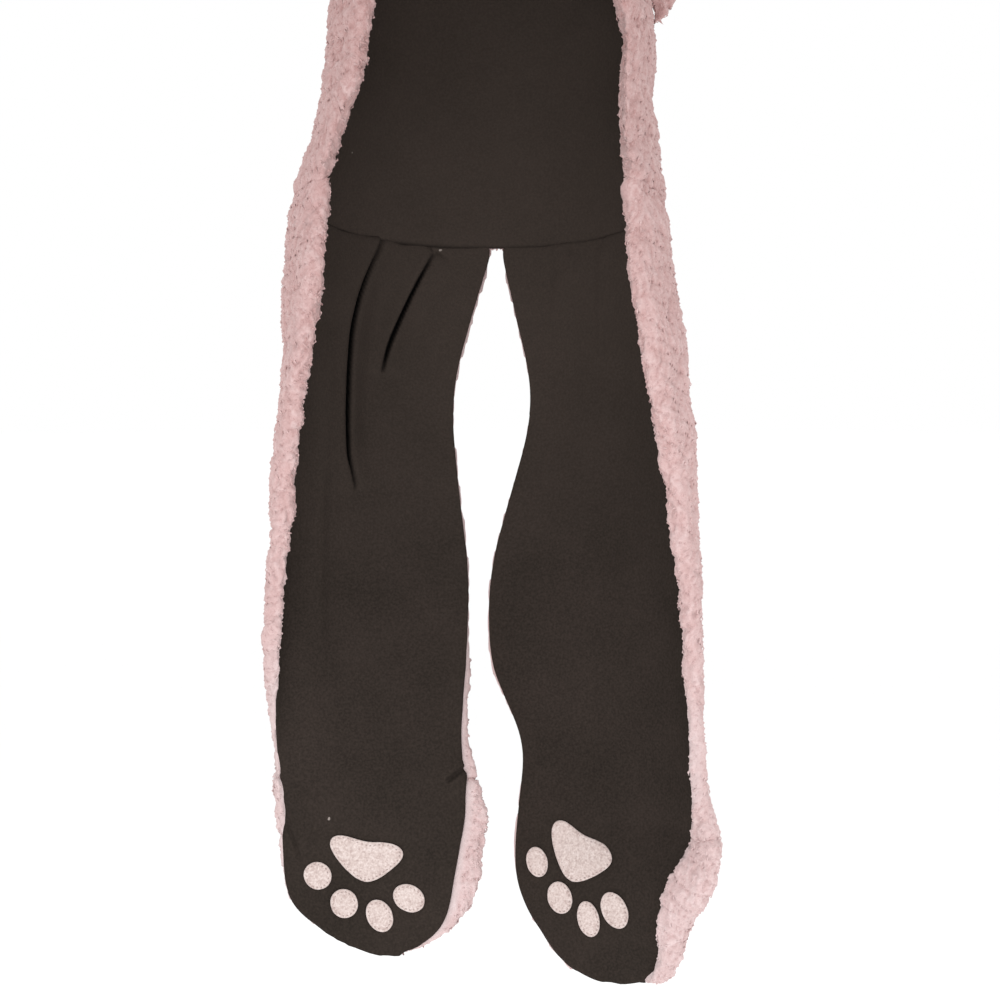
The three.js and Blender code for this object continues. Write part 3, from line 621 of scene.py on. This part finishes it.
def plush(node, backing, sewn, name, material, shapes, spacing, seed, voxel):
    """Plush piece: the solid's own form, softened, with tufts and short locks of pile.

    Its locks are a spacing apart, in mm, and its shell has a mesh with cells of a voxel.
    """
    shell = copy_of(node, name, material)
    remesh = shell.modifiers.new("remesh", "REMESH")
    remesh.mode = "VOXEL"
    remesh.voxel_size = voxel * MM
    smooth = shell.modifiers.new("smooth", "SMOOTH")
    smooth.factor = 0.5
    smooth.iterations = 4
    baked(shell)
    mesh = shell.data
    refine(mesh, outside_of(places(mesh), backing) > 0.1, rounds=2)
    points, normals = places(mesh), facings(mesh)
    outer = outside_of(points, backing)
    if "paw" in node:
        points = rounded_tip(points, node.split("_")[0])
    lay = lay_of_pile(points, normals, seed)
    curled = points + noisy_vector(points, TUFT, seed + 6) * 2.5 * MM
    coarse = tufts(curled, lay, TUFT, seed)
    fine = tufts(curled, lay, CURL, seed + 3)
    slanted = points * np.array([0.25, 0.25, 1.0])
    slanted[:, 2] += ROLL_SLANT * np.abs(points[:, 0])
    rolls = np.abs(noisy(slanted, ROLL, seed + 8))
    relief = coarse * TUFT_HEIGHT + fine * CURL_HEIGHT
    relief += np.minimum(rolls, ROLL_TOP) * ROLL_HEIGHT
    relief += noisy(points, SWELL, seed + 4) * SWELL_HEIGHT
    relief -= MEAN_HEIGHT
    points += normals * (relief * MM * outer)[:, None] + sewn_to(points, sewn)
    put(mesh, points)
    normals = facings(mesh)
    keep(mesh, "outer", outer)
    keep(mesh, "comb", unit(lay + normals * 0.1))
    # painted shade: height makes the plush darker towards the top
    keep(mesh, "height", np.clip((points[:, 2] - LOWEST) / (HIGHEST - LOWEST), 0, 1))
    # painted shade: depth makes the plush darker where its relief sinks
    keep(mesh, "depth", np.clip(coarse * 1.3 + fine * 1.5 + np.minimum(rolls, 0.1) * 2.6, 0, 1))
    # on the shell, tone follows the small curls: painted shade in their valleys
    keep(mesh, "tone", np.clip(fine * 3 - 0.1, 0, 1))
    # painted sheen on the pile's ends by the lining
    keep(mesh, "rim", painted_pile_rim_sheen(points, backing))
    pile = shell.modifiers.new("pile", "NODES")
    pile.node_group = pile_nodes(shapes, spacing, seed)
    baked(shell)
    dress(shell, node)


# Lining

CREASES = [  # side, rise of the cloth beside the crease, its spread and the slit, in mm; x, z
    ("right", 6.0, 14, 1.5, [(-77, -215), (-85, -231), (-94, -252), (-100, -280), (-102, -307),
                             (-102, -341), (-100, -364), (-97, -373), (-92, -388)]),
    ("right", 5.0, 12, 1.4, [(-43, -225), (-56, -248), (-68, -273), (-75, -293), (-78, -310)]),
    ("right", 1.6, 8, 1.6, [(-136, -609), (-130, -622), (-126, -635)]),
    ("right", 2.5, 9, 1.8, [(-16, -570), (-23, -575), (-29, -580)]),
]
RIDGES = [  # side, height and half width of a soft ridge, in millimetres; x, z
    ("right", 1.6, 3.5, [(-113, -280), (-114, -326), (-114, -393), (-113, -492)]),
    ("left", 1.4, 3.0, [(53, -226), (53, -244)]),
    ("left", 1.4, 3.0, [(43, -240), (42, -272)]),
    ("left", 1.6, 3.5, [(74, -222), (73, -259), (75, -303)]),
]
WAVE, WAVE_HEIGHT = 55, 0.6   # spread and height of the broad waves of the cloth, in mm
RIPPLE, RIPPLE_HEIGHT = 17, 0.25
LIFT = 0.4                    # how far the cloth stands off the solid, in mm
FOLD_WIDTH = 1.15             # half width of a crease's painted shade, as a share of its slit
DEEP = 5                      # rise of a crease whose painted shade is full all along, in mm
SEAM_LEVEL, SEAM_BACK = -222, 97      # lowest level of the seam, and how far back that is, in mm
SEAM_TILT = math.radians(14.6)
GROOVE, GROOVE_DEPTH = 1.2, 0.5       # spread and depth of the seam's groove, in mm
MEET, MEET_SHIFT = 4.0, 1.3   # spread and size of the pull that closes the seam, in mm
SEAM_MARK, SEAM_DARKNESS = 1.4, 0.5
FINE_BAND = 2.2               # half width of the finer mesh by a seam, in mm, and by a slit
FACED_BY_ARMS = (0, -150 * MM, 0)     # upright line that the linings of the arms face
FACED_BY_HOOD = (0, 0, -100 * MM)     # middle of the hollow that the hood's lining faces
PALER_FROM, PALER_OVER = -0.46, 0.2   # level where painted light starts to make the lining paler, and over what
PALENESS = 0.24


def eased(path):
    """Path with its corners cut twice."""
    path = [np.array(point, float) for point in path]
    for _ in range(2):
        inner = []
        for start, end in zip(path, path[1:]):
            inner += [start * 0.75 + end * 0.25, start * 0.25 + end * 0.75]
        path = path[:1] + inner + path[-1:]
    return path


def off_path(points, path):
    """Distance in the front view from each point to a path, and how far it is from an end."""
    flat = points[:, [0, 2]] / MM
    best = np.full(len(points), 1e9)
    share = np.zeros(len(points))
    path = eased(path)
    for i, (start, end) in enumerate(zip(path, path[1:])):
        run = end - start
        t = np.clip(((flat - start) @ run) / (run @ run), 0, 1)
        gap = np.linalg.norm(flat - start - t[:, None] * run, axis=1)
        nearer = gap < best
        best[nearer] = gap[nearer]
        share[nearer] = (i + t[nearer]) / (len(path) - 1)
    return best, np.sin(np.pi * np.clip(share, 0, 1)) ** 0.5


def above_seam(points):
    """Height over the sloping seam between the hood and the arms, in millimetres."""
    level = SEAM_LEVEL * MM + (SEAM_BACK * MM - points[:, 1]) * math.tan(SEAM_TILT)
    return (points[:, 2] - level) * math.cos(SEAM_TILT) / MM


def marked(points, side):
    """Points beside a crease or the seam, where the cloth needs a finer mesh."""
    near = np.abs(above_seam(points)) < FINE_BAND
    for crease_side, _, _, slit, path in CREASES:
        if crease_side == side:
            near |= off_path(points, path)[0] < FINE_BAND * slit
    return near


def shown_way(points, normals, side):
    """Normals turned to the face that shows: forward on an arm, and into the hood."""
    if side:
        inward = np.array(FACED_BY_ARMS) - points * np.array([1, 1, 0])
    else:
        inward = np.array(FACED_BY_HOOD) - points
    return np.where((normals * inward).sum(1) > 0, 1, -1)[:, None] * normals


def folds(points, side):
    """How far waves, creases and ridges lift the cloth, in mm, and the painted shade of its
    creases.
    """
    lift = LIFT + noisy(points, WAVE, 3) * WAVE_HEIGHT
    lift += noisy(points, RIPPLE, 4) * RIPPLE_HEIGHT
    crease_shade_and_seam_mark = np.zeros(len(points))
    for crease_side, rise, spread, slit, path in CREASES:
        if crease_side == side:
            gap, fade = off_path(points, path)
            slot = np.exp(-(gap / slit) ** 2)
            lift += rise * fade * (np.exp(-(gap / spread) ** 2) - slot)
            # painted shade along the slit, full where the crease is deep
            mark = np.clip((FOLD_WIDTH * slit * fade + 0.3 - gap) / 0.8, 0, 1)
            ends = np.clip(1.6 * fade - 0.3, 0, 1)
            crease_shade_and_seam_mark = np.maximum(crease_shade_and_seam_mark, mark * ends * min((rise / DEEP) ** 2, 1))
    for ridge_side, height, width, path in RIDGES:
        if ridge_side == side:
            gap, fade = off_path(points, path)
            lift += height * fade * np.exp(-(gap / width) ** 2)
    return lift, crease_shade_and_seam_mark


def fleece(node, name, material, side=None):
    """Thin lining: the solid's form made smooth, with its creases, ridges and sewn seam."""
    sheet = subdivided(node, name, material, 3)
    mesh = sheet.data
    if side:
        refine(mesh, marked(places(mesh), side))
    points, normals = places(mesh), facings(mesh)
    lift, crease_shade_and_seam_mark = folds(points, side)
    seam = above_seam(points)
    lift -= GROOVE_DEPTH * np.exp(-(seam / GROOVE) ** 2)
    points += shown_way(points, normals, side) * lift[:, None] * MM
    meet = np.exp(-(seam / MEET) ** 2) * MEET_SHIFT * MM
    points[:, 2] -= np.where(seam > 0, meet, -meet)
    if side:
        points = rounded_tip(points, side)
    put(mesh, points)
    # a darker line along the seam, kept with the creases' painted shade
    seam_line = SEAM_DARKNESS * np.exp(-(seam / SEAM_MARK) ** 2)
    keep(mesh, "crease_shade_and_seam_mark", np.maximum(crease_shade_and_seam_mark, seam_line))
    # painted light: the lining gets paler towards the top, inside the hood
    keep(mesh, "painted_top_light", PALENESS * np.clip((points[:, 2] - PALER_FROM) / PALER_OVER, 0, 1))
    dress(sheet, node)


# Felt pads

STITCH = (0.75, 0.4, 0.4)     # half length, half width and half height, in millimetres
STITCH_STEP = 2.7             # from one stitch to the next, and from a pad's edge to the row
STITCH_INSET = 1.7
FRONT = -0.5                  # a plane before the whole scarf, in metres
RIM_STEPS = 180
LARGEST_PAD = 50              # no pad reaches farther from its middle, in mm
HALVINGS = 12                 # rounds in which a pad's edge is closed in on
FELT_BUMP, FELT_BUMP_HEIGHT = 6, 0.2


def face_of(surface, point):
    """Where a pad's face lies straight behind a point, if it does."""
    return surface.ray_cast(Vector((point.x, FRONT, point.z)), Vector((0, 1, 0)))[0]


def rim_of(surface, centre, inset):
    """Closed row of points inside a pad's edge, seen from the front."""
    row = []
    for step in range(RIM_STEPS):
        angle = 2 * math.pi * step / RIM_STEPS
        out = Vector((math.cos(angle), 0, math.sin(angle)))
        near, far = 0.0, LARGEST_PAD * MM
        for _ in range(HALVINGS):
            middle = (near + far) / 2
            if face_of(surface, centre + out * middle):
                near = middle
            else:
                far = middle
        row.append(centre + out * (near - inset))
    return row


def stitches(node, name, material):
    """Small stitches that hold a pad, in a row inside its edge."""
    surface = surface_of(node)
    low, high = (Vector(corner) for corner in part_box(node))
    row = rim_of(surface, (low + high) / 2, STITCH_INSET * MM)
    bm = bmesh.new()
    gone = 0
    for start, end in zip(row, row[1:] + row[:1]):
        gone += (end - start).length
        spot = face_of(surface, end)
        if gone < STITCH_STEP * MM or not spot:
            continue
        gone = 0
        made = bmesh.ops.create_uvsphere(bm, u_segments=6, v_segments=4, radius=MM)["verts"]
        bmesh.ops.scale(bm, verts=made, vec=STITCH)
        turn = (end - start).to_track_quat("X", "Z")
        bmesh.ops.rotate(bm, verts=made, cent=(0, 0, 0), matrix=turn.to_matrix())
        bmesh.ops.translate(bm, verts=made, vec=spot)
    threads = finished(bm, name, material)
    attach(threads, "root")


def felt_pad(node, name, material):
    """Felt pad: the solid's outline with a soft rounded edge and a slightly uneven face."""
    pad = subdivided(node, name, material, 2)
    mesh = pad.data
    points = places(mesh)
    low, high = points.min(0), points.max(0)
    middle, own = (low + high) / 2, high - low
    full = np.subtract(*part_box(node)[::-1])
    grown = full / own * np.array([1, 0, 1]) + np.array([0, 1, 0])
    points = middle + (points - middle) * grown
    bumps = noisy(points, FELT_BUMP, 2) * FELT_BUMP_HEIGHT * MM
    put(mesh, points + facings(mesh) * bumps[:, None])
    dress(pad, node)


# Assembly

make_camera()
make_studio()
pink, brown, pale, thread = (plush_material(), fleece_material(), felt_material(),
                             thread_material())
shapes = lock_shapes(pink)

plush("hood_fur", "hood_lining", ["left_arm_fur", "right_arm_fur"], "hood_plush", pink,
      shapes, spacing=3.6, seed=1, voxel=4.0)
fleece("hood_lining", "hood_fleece", brown)
for side, sign in SIDES.items():
    plush(side + "_arm_fur", side + "_arm_lining", ["hood_fur", side + "_paw_fur"],
          side + "_arm_plush", pink, shapes, spacing=3.1, seed=11 + sign, voxel=3.2)
    plush(side + "_paw_fur", side + "_arm_lining", [side + "_arm_fur"],
          side + "_paw_plush", pink, shapes, spacing=2.5, seed=21 + sign, voxel=2.6)
    plush(side + "_ear", None, ["hood_fur"], side + "_ear_plush", pink, shapes, spacing=2.4,
          seed=31 + sign, voxel=2.4)
    fleece(side + "_arm_lining", side + "_arm_fleece", brown, side)
    felt_pad(side + "_palm_pad", side + "_palm_felt", pale)
    stitches(side + "_palm_pad", side + "_palm_stitches", thread)
    for number in range(1, 5):
        toe = "%s_toe_%%s_%d" % (side, number)
        felt_pad(toe % "pad", toe % "felt", pale)
        stitches(toe % "pad", toe % "stitches", thread)

for shape in list(shapes.objects):
    bpy.data.objects.remove(shape)
bpy.data.collections.remove(shapes)
